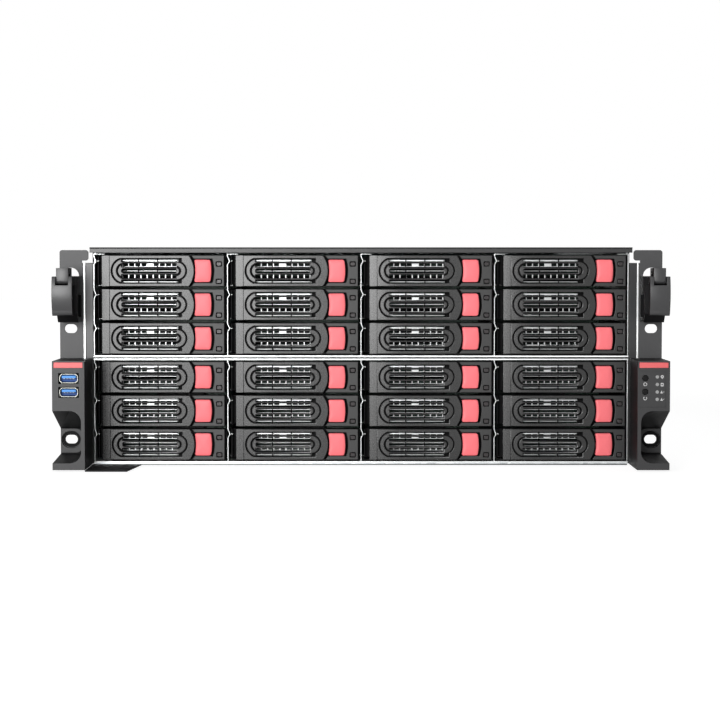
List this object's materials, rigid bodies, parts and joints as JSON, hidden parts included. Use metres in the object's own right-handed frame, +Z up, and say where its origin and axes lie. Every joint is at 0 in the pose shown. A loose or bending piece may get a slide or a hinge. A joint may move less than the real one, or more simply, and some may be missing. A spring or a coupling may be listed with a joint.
{
  "type": "rackmount server chassis",
  "caption": "Tall rackmount server chassis with a full front of hot-swap drive trays, rack ears with flip latches, a fan wall, a sliding top cover and a standard board tray",
  "frame": {"origin": "under the middle of the whole part, on the floor", "axes": "+X to the right seen from the front, +Y from the front to the rear, +Z up"},
  "size_m": [0.4826, 0.7014, 0.1752],
  "materials": {
    "galvanised_steel": "satin",
    "black_painted_steel": "fine texture",
    "tray_plastic": "fine texture",
    "red_plastic": "smooth",
    "black_plastic": "fine texture",
    "fan_plastic": "satin",
    "circuit_board": "satin",
    "plated_steel": "bright",
    "brass": "turned"
  },
  "bodies": {
    "chassis": {"chassis_pan": "galvanised_steel", "upper_drive_cage": "galvanised_steel", "lower_drive_cage": "galvanised_steel", "rear_panel": "galvanised_steel", "slot_covers": "galvanised_steel", "side_plates": "galvanised_steel", "front_cover": "black_painted_steel", "left_rack_ear": "black_painted_steel", "right_rack_ear": "black_painted_steel", "fan_wall": "black_painted_steel", "guard_plate": "black_painted_steel", "accent_strips": "red_plastic", "left_ear_cover": "black_plastic", "right_ear_cover": "black_plastic", "latch_bases": "black_plastic", "fan_frames": "fan_plastic", "backplanes": "circuit_board", "control_board": "circuit_board", "usb_ports": "plated_steel", "board_standoffs": "brass"},
    "top_cover": {"top_cover": "black_painted_steel"},
    "tray_r1_c1": {"tray_r1_c1": "tray_plastic"},
    "tray_r1_c2": {"tray_r1_c2": "tray_plastic"},
    "tray_r1_c3": {"tray_r1_c3": "tray_plastic"},
    "tray_r1_c4": {"tray_r1_c4": "tray_plastic"},
    "tray_r2_c1": {"tray_r2_c1": "tray_plastic"},
    "tray_r2_c2": {"tray_r2_c2": "tray_plastic"},
    "tray_r2_c3": {"tray_r2_c3": "tray_plastic"},
    "tray_r2_c4": {"tray_r2_c4": "tray_plastic"},
    "tray_r3_c1": {"tray_r3_c1": "tray_plastic"},
    "tray_r3_c2": {"tray_r3_c2": "tray_plastic"},
    "tray_r3_c3": {"tray_r3_c3": "tray_plastic"},
    "tray_r3_c4": {"tray_r3_c4": "tray_plastic"},
    "tray_r4_c1": {"tray_r4_c1": "tray_plastic"},
    "tray_r4_c2": {"tray_r4_c2": "tray_plastic"},
    "tray_r4_c3": {"tray_r4_c3": "tray_plastic"},
    "tray_r4_c4": {"tray_r4_c4": "tray_plastic"},
    "tray_r5_c1": {"tray_r5_c1": "tray_plastic"},
    "tray_r5_c2": {"tray_r5_c2": "tray_plastic"},
    "tray_r5_c3": {"tray_r5_c3": "tray_plastic"},
    "tray_r5_c4": {"tray_r5_c4": "tray_plastic"},
    "tray_r6_c1": {"tray_r6_c1": "tray_plastic"},
    "tray_r6_c2": {"tray_r6_c2": "tray_plastic"},
    "tray_r6_c3": {"tray_r6_c3": "tray_plastic"},
    "tray_r6_c4": {"tray_r6_c4": "tray_plastic"},
    "tray_lever_r1_c1": {"tray_lever_r1_c1": "tray_plastic"},
    "tray_lever_r1_c2": {"tray_lever_r1_c2": "tray_plastic"},
    "tray_lever_r1_c3": {"tray_lever_r1_c3": "tray_plastic"},
    "tray_lever_r1_c4": {"tray_lever_r1_c4": "tray_plastic"},
    "tray_button_r1_c1": {"tray_button_r1_c1": "red_plastic"},
    "tray_button_r1_c2": {"tray_button_r1_c2": "red_plastic"},
    "tray_button_r1_c3": {"tray_button_r1_c3": "red_plastic"},
    "tray_button_r1_c4": {"tray_button_r1_c4": "red_plastic"},
    "left_latch_lever": {"left_latch_lever": "black_plastic"},
    "right_latch_lever": {"right_latch_lever": "black_plastic"},
    "power_button": {"power_button": "black_plastic"},
    "reset_button": {"reset_button": "black_plastic"},
    "fan_rotor_left": {"fan_rotor_left": "fan_plastic"},
    "fan_rotor_middle": {"fan_rotor_middle": "fan_plastic"},
    "fan_rotor_right": {"fan_rotor_right": "fan_plastic"}
  },
  "joints": [
    {"name": "tray_slide_r1_c1", "type": "slide", "parent": "chassis", "child": "tray_r1_c1", "axis": [0, -1, 0], "range_m": [0, 0.19]},
    {"name": "tray_slide_r1_c2", "type": "slide", "parent": "chassis", "child": "tray_r1_c2", "axis": [0, -1, 0], "range_m": [0, 0.19]},
    {"name": "tray_slide_r1_c3", "type": "slide", "parent": "chassis", "child": "tray_r1_c3", "axis": [0, -1, 0], "range_m": [0, 0.19]},
    {"name": "tray_slide_r1_c4", "type": "slide", "parent": "chassis", "child": "tray_r1_c4", "axis": [0, -1, 0], "range_m": [0, 0.19]},
    {"name": "tray_slide_r2_c1", "type": "slide", "parent": "chassis", "child": "tray_r2_c1", "axis": [0, -1, 0], "range_m": [0, 0.19]},
    {"name": "tray_slide_r2_c2", "type": "slide", "parent": "chassis", "child": "tray_r2_c2", "axis": [0, -1, 0], "range_m": [0, 0.19]},
    {"name": "tray_slide_r2_c3", "type": "slide", "parent": "chassis", "child": "tray_r2_c3", "axis": [0, -1, 0], "range_m": [0, 0.19]},
    {"name": "tray_slide_r2_c4", "type": "slide", "parent": "chassis", "child": "tray_r2_c4", "axis": [0, -1, 0], "range_m": [0, 0.19]},
    {"name": "tray_slide_r3_c1", "type": "slide", "parent": "chassis", "child": "tray_r3_c1", "axis": [0, -1, 0], "range_m": [0, 0.19]},
    {"name": "tray_slide_r3_c2", "type": "slide", "parent": "chassis", "child": "tray_r3_c2", "axis": [0, -1, 0], "range_m": [0, 0.19]},
    {"name": "tray_slide_r3_c3", "type": "slide", "parent": "chassis", "child": "tray_r3_c3", "axis": [0, -1, 0], "range_m": [0, 0.19]},
    {"name": "tray_slide_r3_c4", "type": "slide", "parent": "chassis", "child": "tray_r3_c4", "axis": [0, -1, 0], "range_m": [0, 0.19]},
    {"name": "tray_slide_r4_c1", "type": "slide", "parent": "chassis", "child": "tray_r4_c1", "axis": [0, -1, 0], "range_m": [0, 0.19]},
    {"name": "tray_slide_r4_c2", "type": "slide", "parent": "chassis", "child": "tray_r4_c2", "axis": [0, -1, 0], "range_m": [0, 0.19]},
    {"name": "tray_slide_r4_c3", "type": "slide", "parent": "chassis", "child": "tray_r4_c3", "axis": [0, -1, 0], "range_m": [0, 0.19]},
    {"name": "tray_slide_r4_c4", "type": "slide", "parent": "chassis", "child": "tray_r4_c4", "axis": [0, -1, 0], "range_m": [0, 0.19]},
    {"name": "tray_slide_r5_c1", "type": "slide", "parent": "chassis", "child": "tray_r5_c1", "axis": [0, -1, 0], "range_m": [0, 0.19]},
    {"name": "tray_slide_r5_c2", "type": "slide", "parent": "chassis", "child": "tray_r5_c2", "axis": [0, -1, 0], "range_m": [0, 0.19]},
    {"name": "tray_slide_r5_c3", "type": "slide", "parent": "chassis", "child": "tray_r5_c3", "axis": [0, -1, 0], "range_m": [0, 0.19]},
    {"name": "tray_slide_r5_c4", "type": "slide", "parent": "chassis", "child": "tray_r5_c4", "axis": [0, -1, 0], "range_m": [0, 0.19]},
    {"name": "tray_slide_r6_c1", "type": "slide", "parent": "chassis", "child": "tray_r6_c1", "axis": [0, -1, 0], "range_m": [0, 0.19]},
    {"name": "tray_slide_r6_c2", "type": "slide", "parent": "chassis", "child": "tray_r6_c2", "axis": [0, -1, 0], "range_m": [0, 0.19]},
    {"name": "tray_slide_r6_c3", "type": "slide", "parent": "chassis", "child": "tray_r6_c3", "axis": [0, -1, 0], "range_m": [0, 0.19]},
    {"name": "tray_slide_r6_c4", "type": "slide", "parent": "chassis", "child": "tray_r6_c4", "axis": [0, -1, 0], "range_m": [0, 0.19]},
    {"name": "lever_hinge_r1_c1", "type": "hinge", "parent": "tray_r1_c1", "child": "tray_lever_r1_c1", "pos_m": [-0.20445, -0.29935, 0.1564], "axis": [0, 0, -1], "range_deg": [0, 50]},
    {"name": "release_press_r1_c1", "type": "slide", "parent": "tray_r1_c1", "child": "tray_button_r1_c1", "axis": [0, 1, 0], "range_m": [0, 0.002], "stiffness_N_per_m": 1200},
    {"name": "lever_hinge_r1_c2", "type": "hinge", "parent": "tray_r1_c2", "child": "tray_lever_r1_c2", "pos_m": [-0.09745, -0.29935, 0.1564], "axis": [0, 0, -1], "range_deg": [0, 50]},
    {"name": "release_press_r1_c2", "type": "slide", "parent": "tray_r1_c2", "child": "tray_button_r1_c2", "axis": [0, 1, 0], "range_m": [0, 0.002], "stiffness_N_per_m": 1200},
    {"name": "lever_hinge_r1_c3", "type": "hinge", "parent": "tray_r1_c3", "child": "tray_lever_r1_c3", "pos_m": [0.00955, -0.29935, 0.1564], "axis": [0, 0, -1], "range_deg": [0, 50]},
    {"name": "release_press_r1_c3", "type": "slide", "parent": "tray_r1_c3", "child": "tray_button_r1_c3", "axis": [0, 1, 0], "range_m": [0, 0.002], "stiffness_N_per_m": 1200},
    {"name": "lever_hinge_r1_c4", "type": "hinge", "parent": "tray_r1_c4", "child": "tray_lever_r1_c4", "pos_m": [0.11655, -0.29935, 0.1564], "axis": [0, 0, -1], "range_deg": [0, 50]},
    {"name": "release_press_r1_c4", "type": "slide", "parent": "tray_r1_c4", "child": "tray_button_r1_c4", "axis": [0, 1, 0], "range_m": [0, 0.002], "stiffness_N_per_m": 1200},
    {"name": "fan_spin_left", "type": "hinge", "parent": "chassis", "child": "fan_rotor_left", "pos_m": [-0.128, -0.04875, 0.0654], "axis": [0, 1, 0], "continuous": true},
    {"name": "fan_spin_middle", "type": "hinge", "parent": "chassis", "child": "fan_rotor_middle", "pos_m": [0, -0.04875, 0.0654], "axis": [0, 1, 0], "continuous": true},
    {"name": "fan_spin_right", "type": "hinge", "parent": "chassis", "child": "fan_rotor_right", "pos_m": [0.128, -0.04875, 0.0654], "axis": [0, 1, 0], "continuous": true},
    {"name": "left_latch_flip", "type": "hinge", "parent": "chassis", "child": "left_latch_lever", "pos_m": [-0.2331, -0.34125, 0.1491], "axis": [-1, 0, 0], "range_deg": [0, 70]},
    {"name": "right_latch_flip", "type": "hinge", "parent": "chassis", "child": "right_latch_lever", "pos_m": [0.2331, -0.34125, 0.1491], "axis": [-1, 0, 0], "range_deg": [0, 70]},
    {"name": "power_press", "type": "slide", "parent": "chassis", "child": "power_button", "axis": [0, 1, 0], "range_m": [0, 0.0012], "stiffness_N_per_m": 1200},
    {"name": "reset_press", "type": "slide", "parent": "chassis", "child": "reset_button", "axis": [0, 1, 0], "range_m": [0, 0.0012], "stiffness_N_per_m": 1200},
    {"name": "top_cover_slide", "type": "slide", "parent": "chassis", "child": "top_cover", "axis": [0, 1, 0], "range_m": [0, 0.4]}
  ]
}
